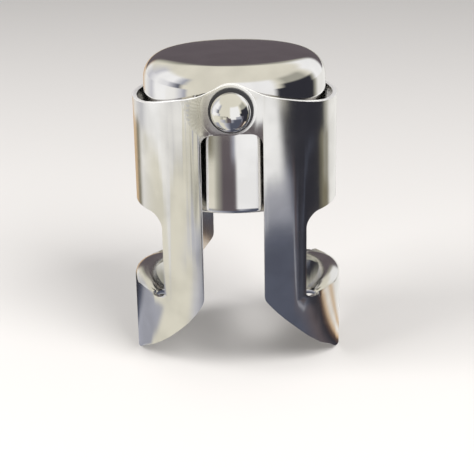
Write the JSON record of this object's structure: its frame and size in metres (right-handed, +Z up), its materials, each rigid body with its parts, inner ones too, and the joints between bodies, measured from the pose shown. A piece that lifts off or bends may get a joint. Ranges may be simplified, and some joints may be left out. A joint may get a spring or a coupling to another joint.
{
  "type": "champagne stopper",
  "caption": "Sparkling wine bottle stopper: a sprung rubber seal in a steel sleeve under a domed cap, with two hinged sheet arms that hook under the neck ring.",
  "frame": {"origin": "on the ground under the middle of the stopper, which stands on the ends of its arms", "axes": "+Z up along the sleeve's axis, the arms' pivots along Y, the front rivet towards -Y, the arms to -X and +X"},
  "size_m": [0.04, 0.0476, 0.0584],
  "materials": {
    "satin_steel": "fine satin stainless steel",
    "polished_steel": "polished stainless steel",
    "dark_plastic": "matt dark nylon",
    "white_plastic": "matt moulded plastic",
    "black_rubber": "matt food-grade rubber"
  },
  "bodies": {
    "core": {"sleeve": "polished_steel", "cap": "satin_steel", "cap_insert": "dark_plastic", "front_rivet": "polished_steel", "rear_rivet": "polished_steel", "front_washer": "dark_plastic", "rear_washer": "dark_plastic", "front_bush": "dark_plastic", "rear_bush": "dark_plastic", "front_backing_washer": "polished_steel", "rear_backing_washer": "polished_steel", "spring": "polished_steel"},
    "left_arm": {"left_arm": "satin_steel"},
    "right_arm": {"right_arm": "satin_steel"},
    "plunger": {"plunger": "white_plastic", "seal": "black_rubber", "seal_screw": "polished_steel", "retaining_ring": "polished_steel"}
  },
  "joints": [
    {"name": "left_arm_swing", "type": "hinge", "parent": "core", "child": "left_arm", "pos_m": [0, 0, 0.0511], "axis": [0, 1, 0], "range_deg": [0, 60]},
    {"name": "right_arm_swing", "type": "hinge", "parent": "core", "child": "right_arm", "pos_m": [0, 0, 0.0511], "axis": [0, -1, 0], "range_deg": [0, 60]},
    {"name": "seal_press", "type": "slide", "parent": "core", "child": "plunger", "axis": [0, 0, 1], "range_m": [0, 0.003], "stiffness_N_per_m": 2500, "springref_m": -0.002, "deforming": ["spring"]}
  ]
}
